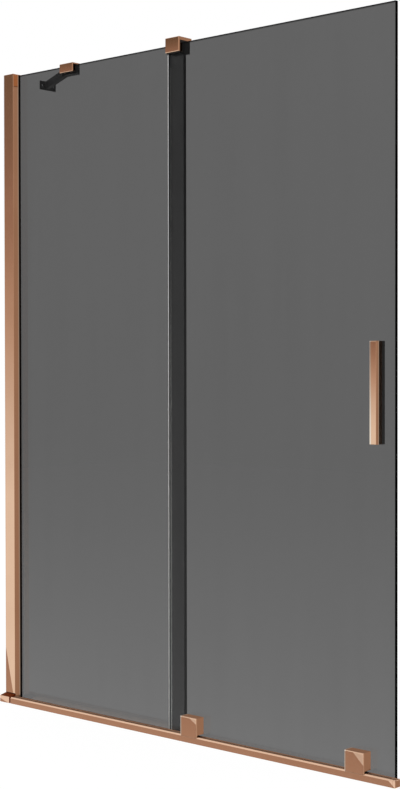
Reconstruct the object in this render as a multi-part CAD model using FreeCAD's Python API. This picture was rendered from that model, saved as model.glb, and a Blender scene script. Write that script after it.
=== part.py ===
import FreeCAD, Part
import math
import os
from FreeCAD import Vector

# Sliding bath screen: a fixed pane in a wall profile, and a door pane that rolls on a bottom rail.
# Millimetres. X runs along the screen from the wall, Y points from the room into the bath and is 0
# on the rail's middle line, and Z is the height over the bath rim.

# Whole screen
screen_width = 1195.0
screen_height = 1500.0
glass_thickness = 8.0
glass_arris = 0.3
pane_gap = 7.0
fixed_pane_reach = 594.4
door_overlap = 34.9
door_top_drop = 2.0
door_rail_overlap = 6.0

# Wall profile and the channel inside it
profile_width = 33.8
profile_wall = 2.0
profile_lip = 16.0
lip_thickness = 2.5
profile_wall_gap = 3.0
profile_edge = 0.8
pocket_depth = 14.5
back_leg_setback = 9.5
pocket_clearance = 2.0
front_gasket_thickness = 5.5
back_gasket_thickness = 3.0
gasket_recess = 0.3
channel_wall = 2.0
channel_depth = 16.0
channel_top_drop = 16.0
sleeve_clearance = 0.2
wall_hole_radius = 2.75
wall_hole_inset = 150.0
wall_hole_count = 4
profile_screw_radius = 2.0
profile_screw_head_radius = 4.0
profile_screw_head_height = 2.0
profile_screw_reach = 1.5
profile_screw_inset = 200.0
profile_screw_count = 3
cap_thickness = 0.8
cap_edge = 0.4
cheek_height = 29.5
cheek_seam = 1.2
peg_length = 12.0
peg_clearance = 0.2
notch_gap = 6.5
foot_height = 22.0
foot_wall_gap = 0.3

# Bottom rail and the shoe of the fixed pane
rail_depth = 17.0
rail_height = 14.8
rail_chamfer = 2.6
rail_wall = 2.0
rail_overrun = 17.5
track_width = 7.2
track_depth = 1.5
wall_block_length = 35.0
wall_block_rise = 4.2
end_cap_length = 6.0
end_cap_edge = 1.5
rail_joint_gap = 4.2
end_cap_gap = 0.4
rail_peg_length = 14.0
rail_peg_clearance = 0.1
stop_rise = 3.0
stop_length = 4.0
stop_gap = 0.5
stop_clearance = 0.1
shoe_height = 7.0
shoe_wall = 2.3
shoe_base = 2.5
shoe_clearance = 0.2

# Top guide on the corner of the fixed pane
guide_width = 41.5
guide_overhang = 2.5
guide_height = 31.5
guide_rise = 11.5
guide_plate = 4.0
guide_top_plate = 7.0
guide_front_cover = 6.0
guide_cap_back = 10.0
guide_liner_back = 9.5
guide_liner_drop = 2.5
guide_slot_clearance = 0.5
guide_top_clearance = 1.5
guide_edge = 0.9
liner_recess = 0.5
guide_screw_radius = 1.5
guide_screw_head_radius = 2.75
guide_screw_head_height = 2.0
guide_screw_spacing = 24.0
guide_screw_bite = 2.5
guide_grub_radius = 2.0
guide_grub_height = 10.0

# Brace from the fixed pane to the wall
clip_center = 209.1
clip_width = 45.2
clip_height = 20.0
clip_rise = 5.6
clip_plate = 2.5
clip_pad = 2.5
clip_edge = 0.6
socket_thickness = 9.0
socket_drop = 4.0
socket_boss_depth = 11.0
socket_boss_width = 50.0
socket_boss_shift = 9.0
socket_boss_cover = 2.0
socket_edge = 1.0
clip_screw_radius = 1.5
clip_screw_head_radius = 2.5
clip_screw_head_height = 2.0
clip_screw_spacing = 34.0
clip_screw_bite = 2.0
arm_height = 18.0
arm_thickness = 9.4
arm_insert = 8.0
arm_clearance = 0.1
arm_grub_radius = 2.0
flange_offset = 85.1
flange_width = 48.1
flange_height = 21.0
flange_thickness = 4.0
flange_edge = 1.0
flange_hole_radius = 2.75
flange_hole_inset = 6.5
arm_end_inset = 19.0
arm_screw_radius = 2.0
arm_screw_head_radius = 3.6
arm_screw_head_depth = 1.8
arm_screw_bite = 5.0

# Door seals and handle
edge_seal_width = 2.5
edge_seal_lip = 1.2
edge_seal_lip_gap = 0.7
edge_seal_lip_drop = 30.0
bottom_seal_height = 6.0
bottom_seal_inset = 1.0
handle_length = 200.0
handle_center = 751.0
handle_width = 16.9
handle_inset = 38.7
handle_outer_depth = 9.0
handle_inner_depth = 13.1
handle_edge = 1.4
handle_gasket_thickness = 0.8
handle_gasket_inset = 0.6
handle_bolt_radius = 2.5
handle_bolt_spacing = 160.0
handle_bolt_bite = 7.0
handle_bolt_head_radius = 4.2
handle_bolt_head_height = 4.0
handle_bolt_recess = 5.0

# Roller carriages under the door
carriage_width = 49.2
carriage_depth = 22.0
carriage_top = 54.6
carriage_left_inset = 54.9
carriage_right_inset = 59.3
cover_wall = 2.5
cover_edge = 2.3
cover_rail_gap = 0.5
cover_side_gap = 3.8
cover_glass_gap = 0.3
cover_fit = 0.1
carriage_gasket_thickness = 1.0
carriage_gasket_inset = 1.5
clamp_plate_thickness = 2.5
clamp_plate_inset = 8.0
clamp_screw_radius = 2.5
clamp_screw_head_radius = 4.5
clamp_screw_spacing = 20.0
clamp_screw_drop = 14.0
clamp_screw_bite = 6.0
glass_hole_clearance = 1.5
thread_clearance = 0.03
screw_clearance = 0.25

# Rollers
roller_radius = 9.0
roller_width = 6.0
roller_spacing = 23.0
roller_edge = 0.6
roller_side_gap = 0.5
rolling_clearance = 0.2
bearing_radius = 6.0
bearing_width = 5.0
bearing_seat_clearance = 0.02
axle_radius = 2.5
axle_running_clearance = 0.05
axle_head_radius = 4.0
axle_head_height = 1.3
axle_head_gap = 0.3
axle_embed = 6.0

# How near an edge lies to the place it is looked for
place_tolerance = 0.0001

# Planes that the pieces share
rail_front = -rail_depth / 2
rail_back = rail_depth / 2
track_floor = rail_height - track_depth
door_front = rail_front + carriage_depth
door_back = door_front + glass_thickness
fixed_front = door_back + pane_gap
fixed_back = fixed_front + glass_thickness
door_left = fixed_pane_reach - door_overlap
door_right = screen_width - rail_overrun
door_top = screen_height - door_top_drop
door_bottom = rail_height - door_rail_overlap
profile_right = profile_wall_gap + profile_width
profile_lip_inner = profile_right - lip_thickness
profile_lip_back = fixed_front - front_gasket_thickness
profile_leg_front = profile_lip_back - profile_wall
profile_front = profile_lip_back - profile_lip
profile_back = fixed_back + back_gasket_thickness + profile_wall
profile_inner_front = profile_front + profile_wall
profile_inner_back = profile_back - profile_wall
pocket_left = profile_right - pocket_depth
back_leg_right = profile_right - back_leg_setback
fixed_left = pocket_left + pocket_clearance
channel_front = profile_inner_front + sleeve_clearance
channel_back = profile_inner_back - sleeve_clearance
channel_top = screen_height - channel_top_drop
wall_hole_y = (channel_front + channel_wall + profile_leg_front) / 2
carriage_centers = {
    "left": door_left + carriage_left_inset + carriage_width / 2,
    "right": door_right - carriage_right_inset - carriage_width / 2,
}
carriage_bottom = rail_height + cover_side_gap
carriage_back = door_front - carriage_gasket_thickness
roller_z = track_floor + rolling_clearance + roller_radius
roller_front = -roller_width / 2
roller_back = roller_width / 2
carriage_front = roller_back + roller_side_gap
clamp_screw_z = carriage_top - clamp_screw_drop
guide_right = fixed_pane_reach + guide_overhang
guide_left = guide_right - guide_width
guide_front = door_front - guide_front_cover
guide_top = screen_height + guide_rise
guide_bottom = guide_top - guide_height
guide_liner_bottom = guide_bottom - guide_liner_drop
clip_left = clip_center - clip_width / 2
clip_right = clip_center + clip_width / 2
clip_top = screen_height + clip_rise
clip_bottom = clip_top - clip_height
socket_back = fixed_back + socket_thickness
socket_bottom = clip_bottom - socket_drop
arm_top = clip_top - socket_boss_cover
arm_bottom = arm_top - arm_height
arm_z = (arm_bottom + arm_top) / 2
arm_tip_y = socket_back + socket_boss_depth - arm_insert
flange_near = fixed_back + flange_offset
flange_far = flange_near + flange_width
arm_end_y = flange_near + arm_end_inset
boss_middle = clip_center - socket_boss_shift
arm_slope = (arm_tip_y - arm_end_y) / (boss_middle - flange_thickness)
handle_right = door_right - handle_inset
handle_left = handle_right - handle_width
handle_x = (handle_left + handle_right) / 2
handle_heights = [handle_center + side * handle_bolt_spacing / 2 for side in (-1, 1)]


def box(x0, x1, y0, y1, z0, z1):
    return Part.makeBox(x1 - x0, y1 - y0, z1 - z0, Vector(x0, y0, z0))


def prism(points, direction):
    return Part.Face(Part.makePolygon(points + points[:1])).extrude(direction)


def rod(radius, start, end):
    axis = end - start
    return Part.makeCylinder(radius, axis.Length, start, axis)


def taper(start_radius, end_radius, start, end):
    axis = end - start
    return Part.makeCone(start_radius, end_radius, axis.Length, start, axis)


def even_steps(first, last, count):
    return [first + (last - first) * step / (count - 1) for step in range(count)]


# A hexagonal key hole of half its screw's head radius, sunk along the screw's direction.
def key_hole(face, direction, head_radius, depth):
    side = Vector(direction.z, direction.x, direction.y) * (head_radius / 2)
    other = direction.cross(side)
    corners = []
    for step in range(6):
        angle = math.radians(60 * step)
        corners.append(face + side * math.cos(angle) + other * math.sin(angle))
    return prism(corners, direction * depth)


# The head lies before the seat and the shank runs from the seat along the direction.
def headed_screw(seat, direction, radius, length, head_radius, head_height):
    face = seat - direction * head_height
    solid = rod(head_radius, face, seat).fuse(rod(radius, seat, seat + direction * length))
    return solid.removeSplitter().cut(key_hole(face, direction, head_radius, head_height / 2))


# The flat of the tapered head lies in the face.
def countersunk_screw(face, direction, radius, length, head_radius, head_depth):
    neck = face + direction * head_depth
    solid = taper(head_radius, radius, face, neck).fuse(rod(radius, neck, face + direction * length))
    return solid.removeSplitter().cut(key_hole(face, direction, head_radius, head_depth / 2))


def grub_screw(face, direction, radius, length):
    return rod(radius, face, face + direction * length).cut(key_hole(face, direction, radius, length / 3))


# Edges that lie wholly in one plane square to an axis.
def edges_in_plane(shape, axis, value):
    found = []
    for edge in shape.Edges:
        low = getattr(edge.BoundBox, axis + "Min")
        high = getattr(edge.BoundBox, axis + "Max")
        if abs(low - value) < place_tolerance and abs(high - value) < place_tolerance:
            found.append(edge)
    return found


def bevel_face(shape, size, axis, value):
    return shape.makeChamfer(size, edges_in_plane(shape, axis, value))


def round_face(shape, radius, axis, value):
    return shape.makeFillet(radius, edges_in_plane(shape, axis, value))


# True for an edge that runs along Z through one plan corner.
def stands_on(edge, x, y):
    bounds = edge.BoundBox
    offsets = (bounds.XMin - x, bounds.XMax - x, bounds.YMin - y, bounds.YMax - y)
    return all(abs(offset) < place_tolerance for offset in offsets)


def round_uprights(shape, radius, corners):
    edges = [edge for edge in shape.Edges if any(stands_on(edge, x, y) for x, y in corners)]
    return shape.makeFillet(radius, edges)


def save(name, *solids):
    shape = solids[0] if len(solids) == 1 else Part.makeCompound(list(solids))
    shape.exportStep("parts/" + name + ".step")


def wall_hole_heights():
    return even_steps(wall_hole_inset, screen_height - wall_hole_inset, wall_hole_count)


def profile_screw_points():
    heights = even_steps(profile_screw_inset, screen_height - profile_screw_inset, profile_screw_count)
    return [Vector(channel_depth / 2, profile_back, z) for z in heights]


def make_wall_channel():
    outer = box(0, channel_depth, channel_front, channel_back, foot_height, channel_top)
    inner_front = channel_front + channel_wall
    inner_back = channel_back - channel_wall
    shape = outer.cut(box(channel_wall, channel_depth, inner_front, inner_back, foot_height, channel_top))
    for z in wall_hole_heights():
        start = Vector(0, wall_hole_y, z)
        shape = shape.cut(rod(wall_hole_radius, start, start + Vector(channel_wall, 0, 0)))
    for point in profile_screw_points():
        end = Vector(point.x, inner_back, point.z)
        shape = shape.cut(rod(profile_screw_radius + thread_clearance, point, end))
    save("wall_channel", shape)


# The section is a front box, a glazing pocket open to the right and a back wall, in one outline.
# The front wall is notched over the rail, and the lip is notched for the top cap's cheek.
def make_wall_profile():
    web_left = pocket_left - profile_wall
    outline = [
        (profile_wall_gap, profile_front),
        (profile_right, profile_front),
        (profile_right, profile_lip_back),
        (pocket_left, profile_lip_back),
        (pocket_left, profile_inner_back),
        (back_leg_right, profile_inner_back),
        (back_leg_right, profile_back),
        (profile_wall_gap, profile_back),
        (profile_wall_gap, profile_inner_back),
        (web_left, profile_inner_back),
        (web_left, profile_leg_front),
        (profile_lip_inner, profile_leg_front),
        (profile_lip_inner, profile_inner_front),
        (profile_wall_gap, profile_inner_front),
    ]
    shape = prism([Vector(x, y, 0) for x, y in outline], Vector(0, 0, screen_height))
    shape = round_uprights(shape, profile_edge, [outline[1], outline[6]])
    shape = shape.cut(box(0, profile_right, profile_front, profile_inner_front, 0, rail_height + notch_gap))
    shape = shape.cut(lip_cheek(screen_height - cheek_height))
    for point in profile_screw_points():
        end = Vector(point.x, profile_inner_back, point.z)
        shape = shape.cut(rod(profile_screw_radius + screw_clearance, point, end))
    save("wall_profile", shape)


# The top stretch of the profile's lip, down to the given height.
def lip_cheek(bottom):
    return box(profile_lip_inner, profile_right, profile_inner_front, profile_leg_front,
               bottom, screen_height)


def make_profile_screws():
    length = profile_wall + sleeve_clearance + channel_wall + profile_screw_reach
    screws = []
    for point in profile_screw_points():
        screws.append(headed_screw(point, Vector(0, -1, 0), profile_screw_radius, length,
                                   profile_screw_head_radius, profile_screw_head_height))
    save("profile_screws", *screws)


# A plug that fills the profile's front box from the given left side.
def profile_plug(left, bottom, top):
    return box(left, profile_lip_inner - peg_clearance, profile_inner_front + peg_clearance,
               profile_leg_front - peg_clearance, bottom, top)


def make_profile_ends():
    peg_left = channel_depth + peg_clearance
    plate = box(profile_wall_gap, profile_right, profile_front, profile_back,
                screen_height, screen_height + cap_thickness)
    plate = bevel_face(plate, cap_edge, "Z", screen_height + cap_thickness)
    cap = plate.fuse(profile_plug(peg_left, screen_height - peg_length, screen_height))
    cap = cap.fuse(lip_cheek(screen_height - cheek_height + cheek_seam))
    save("profile_top_cap", cap.removeSplitter())
    foot = profile_plug(foot_wall_gap, 0, foot_height)
    foot = foot.fuse(profile_plug(peg_left, foot_height, foot_height + peg_length))
    save("profile_foot", foot.removeSplitter())


def make_glass_gaskets():
    save("front_glass_gasket", box(pocket_left, profile_right - gasket_recess,
                                   profile_lip_back, fixed_front, shoe_base, screen_height))
    save("back_glass_gasket", box(pocket_left, back_leg_right - gasket_recess,
                                  fixed_back, profile_inner_back, shoe_base, screen_height))


# A pane whose edges all have a polished arris.
def pane(x0, x1, y0, y1, z0, z1):
    sheet = box(x0, x1, y0, y1, z0, z1)
    return sheet.makeChamfer(glass_arris, sheet.Edges)


def make_fixed_glass():
    save("fixed_glass", pane(fixed_left, fixed_pane_reach, fixed_front, fixed_back, shoe_base, screen_height))
    slot_front = fixed_front - shoe_clearance
    slot_back = fixed_back + shoe_clearance
    shoe = box(profile_right, fixed_pane_reach, slot_front - shoe_wall, slot_back + shoe_wall, 0, shoe_height)
    slot = box(profile_right, fixed_pane_reach, slot_front, slot_back, shoe_base, shoe_height)
    save("fixed_glass_shoe", shoe.cut(slot))


# The rail's end view without its track, which the end cap shares.
def rail_block(left, right):
    section = [
        (rail_front, 0),
        (rail_back, 0),
        (rail_back, rail_height),
        (rail_front + rail_chamfer, rail_height),
        (rail_front, rail_height - rail_chamfer),
    ]
    return prism([Vector(left, y, z) for y, z in section], Vector(right - left, 0, 0))


# The end block at the wall, whose top falls to the front.
def wall_block():
    section = [
        (rail_front, 0),
        (rail_back, 0),
        (rail_back, rail_height + wall_block_rise),
        (rail_front, rail_height),
    ]
    return prism([Vector(0, y, z) for y, z in section], Vector(wall_block_length, 0, 0))


# The rail's hollow, or with a clearance the peg that fills it.
def rail_core(left, right, clearance):
    return box(left, right, rail_front + rail_wall + clearance, rail_back - rail_wall - clearance,
               rail_wall + clearance, track_floor - rail_wall - clearance)


def make_bottom_rail():
    left = wall_block_length + rail_joint_gap
    right = screen_width - end_cap_length - end_cap_gap
    track = box(left, right, -track_width / 2, track_width / 2, track_floor, rail_height)
    save("bottom_rail", rail_block(left, right).cut(rail_core(left, right, 0)).cut(track))
    wall_peg = rail_core(wall_block_length, left + rail_peg_length, rail_peg_clearance)
    save("rail_wall_block", wall_block().fuse(wall_peg).removeSplitter())
    cap_left = screen_width - end_cap_length
    cap = round_face(rail_block(cap_left, screen_width), end_cap_edge, "X", screen_width)
    cap_peg = rail_core(right - rail_peg_length, cap_left, rail_peg_clearance)
    save("rail_end_cap", cap.fuse(cap_peg).removeSplitter())


# The stop meets the rim of the last roller when the door is closed.
def make_track_stop():
    top = rail_height + stop_rise
    reach = math.sqrt(roller_radius ** 2 - (roller_z - top) ** 2)
    left = carriage_centers["right"] + roller_spacing / 2 + reach + stop_gap
    half = track_width / 2 - stop_clearance
    save("track_stop", box(left, left + stop_length, -half, half, track_floor, top))


def guide_screw_points():
    middle = (guide_left + guide_right) / 2
    rib = (door_back + guide_slot_clearance + fixed_front) / 2
    return [Vector(middle + side * guide_screw_spacing / 2, rib,
                   guide_liner_bottom + guide_screw_head_height)
            for side in (-1, 1)]


def guide_grub_points():
    back = fixed_back + guide_liner_back
    return [Vector(point.x, back, guide_bottom + guide_grub_height) for point in guide_screw_points()]


def make_guide():
    under_plate = guide_top - guide_top_plate
    cap_back = fixed_back + guide_cap_back
    front_plate = box(guide_left, guide_right, guide_front, guide_front + guide_plate,
                      guide_bottom, guide_top)
    top_plate = box(guide_left, guide_right, guide_front, cap_back, under_plate, guide_top)
    cap = bevel_face(front_plate.fuse(top_plate).removeSplitter(), guide_edge, "Y", guide_front)
    liner = box(guide_left + liner_recess, guide_right - liner_recess, guide_front + guide_plate,
                fixed_back + guide_liner_back, guide_liner_bottom, under_plate)
    door_slot = box(guide_left, guide_right, door_front - guide_slot_clearance,
                    door_back + guide_slot_clearance, guide_liner_bottom, door_top + guide_top_clearance)
    pane_slot = box(guide_left, fixed_pane_reach, fixed_front, fixed_back, guide_liner_bottom, screen_height)
    liner = liner.cut(door_slot).cut(pane_slot)
    up = Vector(0, 0, 1)
    length = under_plate + guide_screw_bite - guide_liner_bottom - guide_screw_head_height
    screws = []
    for point in guide_screw_points():
        shank_end = point + up * length
        cap = cap.cut(rod(guide_screw_radius + thread_clearance, point, shank_end))
        liner = liner.cut(rod(guide_screw_radius + screw_clearance, point, shank_end))
        liner = liner.cut(rod(guide_screw_head_radius + screw_clearance,
                              point - up * guide_screw_head_height, point))
        screws.append(headed_screw(point, up, guide_screw_radius, length,
                                   guide_screw_head_radius, guide_screw_head_height))
    grubs = []
    for point in guide_grub_points():
        grub_end = Vector(point.x, fixed_back, point.z)
        liner = liner.cut(rod(guide_grub_radius + thread_clearance, point, grub_end))
        grubs.append(grub_screw(point, Vector(0, -1, 0), guide_grub_radius, guide_liner_back))
    save("guide_cap", cap)
    save("guide_liner", liner)
    save("guide_screws", *screws)
    save("guide_grub_screws", *grubs)


def clip_screw_points():
    middle = fixed_back + socket_thickness / 2
    seat = socket_bottom + clip_screw_head_height
    return [Vector(clip_center + side * clip_screw_spacing / 2, middle, seat) for side in (-1, 1)]


# The arm's plan outline, mitred on the flange and square to Y at its tip.
def arm_outline(thickness, tip_y):
    across = thickness / 2 * math.sqrt(1 + arm_slope ** 2)
    along = thickness / 2 * math.sqrt(1 + 1 / arm_slope ** 2)
    tip_x = flange_thickness + (tip_y - arm_end_y) / arm_slope
    return [
        (flange_thickness, arm_end_y + across),
        (tip_x + along, tip_y),
        (tip_x - along, tip_y),
        (flange_thickness, arm_end_y - across),
    ]


def arm_solid(clearance):
    outline = arm_outline(arm_thickness + 2 * clearance, arm_tip_y - clearance)
    corners = [Vector(x, y, arm_bottom - clearance) for x, y in outline]
    return prism(corners, Vector(0, 0, arm_height + 2 * clearance))


def make_brace_clip():
    under_plate = clip_top - clip_plate
    pad_front = fixed_front - clip_pad
    cap_front = pad_front - clip_plate
    front_plate = box(clip_left, clip_right, cap_front, pad_front, clip_bottom, clip_top)
    top_plate = box(clip_left, clip_right, cap_front, socket_back, under_plate, clip_top)
    cap = bevel_face(front_plate.fuse(top_plate).removeSplitter(), clip_edge, "Y", cap_front)
    front_pad = box(clip_left + liner_recess, clip_right - liner_recess, pad_front, fixed_front,
                    clip_bottom, under_plate)
    top_pad = box(clip_left + liner_recess, clip_right - liner_recess, pad_front, fixed_back,
                  screen_height, under_plate)
    socket = box(clip_left, clip_right, fixed_back, socket_back, socket_bottom, under_plate)
    boss = box(boss_middle - socket_boss_width / 2, boss_middle + socket_boss_width / 2,
               socket_back, socket_back + socket_boss_depth, socket_bottom, clip_top)
    socket = socket.fuse(boss).removeSplitter()
    socket = bevel_face(socket, socket_edge, "Y", socket_back + socket_boss_depth)
    socket = socket.cut(arm_solid(arm_clearance))
    up = Vector(0, 0, 1)
    length = under_plate + clip_screw_bite - socket_bottom - clip_screw_head_height
    screws = []
    for point in clip_screw_points():
        shank_end = point + up * length
        cap = cap.cut(rod(clip_screw_radius + thread_clearance, point, shank_end))
        socket = socket.cut(rod(clip_screw_radius + screw_clearance, point, shank_end))
        socket = socket.cut(rod(clip_screw_head_radius + screw_clearance,
                                point - up * clip_screw_head_height, point))
        screws.append(headed_screw(point, up, clip_screw_radius, length,
                                   clip_screw_head_radius, clip_screw_head_height))
    grub_x, grub_y = arm_grub_place()
    grub_start = Vector(grub_x, grub_y, socket_bottom)
    grub_end = Vector(grub_x, grub_y, arm_bottom)
    socket = socket.cut(rod(arm_grub_radius + thread_clearance, grub_start, grub_end))
    save("brace_clip_cap", cap)
    save("brace_clip_liner", front_pad.fuse(top_pad).removeSplitter())
    save("brace_clip_socket", socket)
    save("brace_clip_screws", *screws)


# Where the grub screw under the socket presses on the middle of the arm's held length.
def arm_grub_place():
    y = arm_tip_y + arm_insert / 2
    return flange_thickness + (y - arm_end_y) / arm_slope, y


def make_brace_arm():
    screw_y = arm_end_y + arm_slope * arm_screw_bite / 2
    along = Vector(1, 0, 0)
    screw_face = Vector(0, screw_y, arm_z)
    length = flange_thickness + arm_screw_bite
    screw_hole = rod(arm_screw_radius + thread_clearance, screw_face, screw_face + along * length)
    flange = box(0, flange_thickness, flange_near, flange_far,
                 arm_z - flange_height / 2, arm_z + flange_height / 2)
    flange = bevel_face(flange, flange_edge, "X", flange_thickness)
    for hole_y in (flange_near + flange_hole_inset, flange_far - flange_hole_inset):
        start = Vector(0, hole_y, arm_z)
        flange = flange.cut(rod(flange_hole_radius, start, start + along * flange_thickness))
    sink = taper(arm_screw_head_radius + screw_clearance, arm_screw_radius + screw_clearance,
                 screw_face, screw_face + along * arm_screw_head_depth)
    flange = flange.cut(sink).cut(rod(arm_screw_radius + screw_clearance, screw_face,
                                      screw_face + along * flange_thickness))
    save("brace_wall_flange", flange)
    save("brace_arm", arm_solid(0).cut(screw_hole))
    grub_x, grub_y = arm_grub_place()
    grub_start = Vector(grub_x, grub_y, socket_bottom)
    grub_length = arm_bottom - socket_bottom
    save("brace_grub_screw", grub_screw(grub_start, Vector(0, 0, 1), arm_grub_radius, grub_length))
    save("brace_flange_screw", countersunk_screw(screw_face, along, arm_screw_radius, length,
                                                 arm_screw_head_radius, arm_screw_head_depth))


def clamp_screw_spots(side):
    middle = carriage_centers[side]
    return [middle + way * clamp_screw_spacing / 2 for way in (-1, 1)]


def make_sliding_glass():
    shape = pane(door_left, door_right, door_front, door_back, door_bottom, door_top)
    clamp_hole_radius = clamp_screw_radius + glass_hole_clearance
    handle_hole_radius = handle_bolt_radius + glass_hole_clearance
    holes = [(handle_x, z, handle_hole_radius) for z in handle_heights]
    for side in carriage_centers:
        holes += [(x, clamp_screw_z, clamp_hole_radius) for x in clamp_screw_spots(side)]
    for x, z, radius in holes:
        shape = shape.cut(rod(radius, Vector(x, door_front, z), Vector(x, door_back, z)))
    save("sliding_glass", shape)


def make_door_seals():
    strip = box(door_left - edge_seal_width, door_left, door_front, door_back, door_bottom, door_top)
    lip = box(door_left - edge_seal_width, door_left - edge_seal_width + edge_seal_lip,
              door_back, fixed_front - edge_seal_lip_gap, door_bottom, guide_bottom - edge_seal_lip_drop)
    save("door_edge_seal", strip.fuse(lip).removeSplitter())
    seal_front = door_front + bottom_seal_inset
    seal_back = door_back - bottom_seal_inset
    save("door_bottom_seal", box(door_left, door_right, seal_front, seal_back,
                                 door_bottom - bottom_seal_height, door_bottom))


def make_handle():
    bottom = handle_center - handle_length / 2
    top = handle_center + handle_length / 2
    outer_back = door_front - handle_gasket_thickness
    outer_front = outer_back - handle_outer_depth
    inner_front = door_back + handle_gasket_thickness
    inner_back = inner_front + handle_inner_depth
    outer = box(handle_left, handle_right, outer_front, outer_back, bottom, top)
    outer = round_face(outer, handle_edge, "Y", outer_front)
    inner = box(handle_left, handle_right, inner_front, inner_back, bottom, top)
    inner = round_face(inner, handle_edge, "Y", inner_back)
    pad = handle_gasket_inset
    outer_gasket = box(handle_left + pad, handle_right - pad, outer_back, door_front, bottom + pad, top - pad)
    inner_gasket = box(handle_left + pad, handle_right - pad, door_back, inner_front, bottom + pad, top - pad)
    bolts = []
    for z in handle_heights:
        seat = Vector(handle_x, inner_back - handle_bolt_recess, z)
        tip = Vector(handle_x, outer_back - handle_bolt_bite, z)
        loose = rod(handle_bolt_radius + screw_clearance, Vector(handle_x, inner_back, z), tip)
        outer = outer.cut(rod(handle_bolt_radius + thread_clearance, seat, tip))
        inner = inner.cut(loose).cut(rod(handle_bolt_head_radius + screw_clearance,
                                         Vector(handle_x, inner_back, z), seat))
        outer_gasket = outer_gasket.cut(loose)
        inner_gasket = inner_gasket.cut(loose)
        bolts.append(headed_screw(seat, Vector(0, -1, 0), handle_bolt_radius, seat.y - tip.y,
                                  handle_bolt_head_radius, handle_bolt_head_height))
    save("handle_outer_bar", outer)
    save("handle_inner_bar", inner)
    save("handle_outer_gasket", outer_gasket)
    save("handle_inner_gasket", inner_gasket)
    save("handle_bolts", *bolts)


# An open-backed cover whose front plate reaches down over the rail's chamfer.
def make_carriage_cover(side):
    left = carriage_centers[side] - carriage_width / 2
    right = carriage_centers[side] + carriage_width / 2
    back = door_front - cover_glass_gap
    shape = box(left, right, rail_front, back, carriage_bottom, carriage_top)
    hollow = box(left + cover_wall, right - cover_wall, rail_front + cover_wall, back,
                 carriage_bottom, carriage_top - cover_wall)
    plate_bottom = rail_height - rail_chamfer + cover_rail_gap * math.sqrt(2)
    plate = [
        (rail_front, plate_bottom),
        (rail_front + cover_wall, plate_bottom + cover_wall),
        (rail_front + cover_wall, carriage_bottom),
        (rail_front, carriage_bottom),
    ]
    apron = prism([Vector(left, y, z) for y, z in plate], Vector(carriage_width, 0, 0))
    shape = shape.cut(hollow).fuse(apron).removeSplitter()
    edges = edges_in_plane(shape, "Y", rail_front)
    rim = [edge for edge in edges if edge.BoundBox.ZMax > plate_bottom + place_tolerance]
    save(side + "_carriage_cover", shape.makeFillet(cover_edge, rim))


def make_carriage(side):
    middle = carriage_centers[side]
    half = carriage_width / 2 - cover_wall - cover_fit
    top = carriage_top - cover_wall - cover_fit
    body = box(middle - half, middle + half, carriage_front, carriage_back, carriage_bottom, top)
    pad = half - carriage_gasket_inset
    gasket = box(middle - pad, middle + pad, carriage_back, door_front,
                 carriage_bottom + carriage_gasket_inset, top - carriage_gasket_inset)
    clamp_front = door_back + carriage_gasket_thickness
    clamp_back = clamp_front + clamp_plate_thickness
    plate_left = middle - carriage_width / 2 + clamp_plate_inset
    plate_right = middle + carriage_width / 2 - clamp_plate_inset
    plate_bottom = carriage_bottom + clamp_plate_inset
    plate_top = carriage_top - clamp_plate_inset
    clamp_gasket = box(plate_left, plate_right, door_back, clamp_front, plate_bottom, plate_top)
    clamp_plate = box(plate_left, plate_right, clamp_front, clamp_back, plate_bottom, plate_top)
    forward = Vector(0, -1, 0)
    length = clamp_back - carriage_back + clamp_screw_bite
    screws = []
    for x in clamp_screw_spots(side):
        face = Vector(x, clamp_back, clamp_screw_z)
        tip = face + forward * length
        loose = rod(clamp_screw_radius + screw_clearance, face, tip)
        sink = taper(clamp_screw_head_radius + screw_clearance, clamp_screw_radius + screw_clearance,
                     face, face + forward * clamp_plate_thickness)
        clamp_plate = clamp_plate.cut(loose).cut(sink)
        clamp_gasket = clamp_gasket.cut(loose)
        gasket = gasket.cut(loose)
        body = body.cut(rod(clamp_screw_radius + thread_clearance, face, tip))
        screws.append(countersunk_screw(face, forward, clamp_screw_radius, length,
                                        clamp_screw_head_radius, clamp_plate_thickness))
    axles = []
    for x in roller_spots(side):
        root = Vector(x, carriage_front + axle_embed, roller_z)
        seat = Vector(x, roller_front - axle_head_gap, roller_z)
        body = body.cut(rod(axle_radius + thread_clearance, root, seat))
        head = rod(axle_head_radius, seat, seat + forward * axle_head_height)
        axles.append(rod(axle_radius, root, seat).fuse(head).removeSplitter())
    save(side + "_carriage_body", body)
    save(side + "_carriage_gasket", gasket)
    save(side + "_clamp_plate", clamp_plate)
    save(side + "_clamp_gasket", clamp_gasket)
    save(side + "_clamp_screws", *screws)
    save(side + "_roller_axles", *axles)


def roller_spots(side):
    return [carriage_centers[side] + way * roller_spacing / 2 for way in (-1, 1)]


def make_rollers(side):
    for place, x in zip(("rear", "lead"), roller_spots(side)):
        tyre_front = Vector(x, roller_front, roller_z)
        tyre_back = Vector(x, roller_back, roller_z)
        bearing_front = Vector(x, -bearing_width / 2, roller_z)
        bearing_back = Vector(x, bearing_width / 2, roller_z)
        wheel = rod(roller_radius, tyre_front, tyre_back)
        wheel = wheel.makeChamfer(roller_edge, [edge for edge in wheel.Edges if edge.Closed])
        tyre = wheel.cut(rod(bearing_radius + bearing_seat_clearance, tyre_front, tyre_back))
        ring = rod(bearing_radius, bearing_front, bearing_back)
        ring = ring.cut(rod(axle_radius + axle_running_clearance, bearing_front, bearing_back))
        save(side + "_" + place + "_roller_tyre", tyre)
        save(side + "_" + place + "_roller_bearing", ring)


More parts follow.
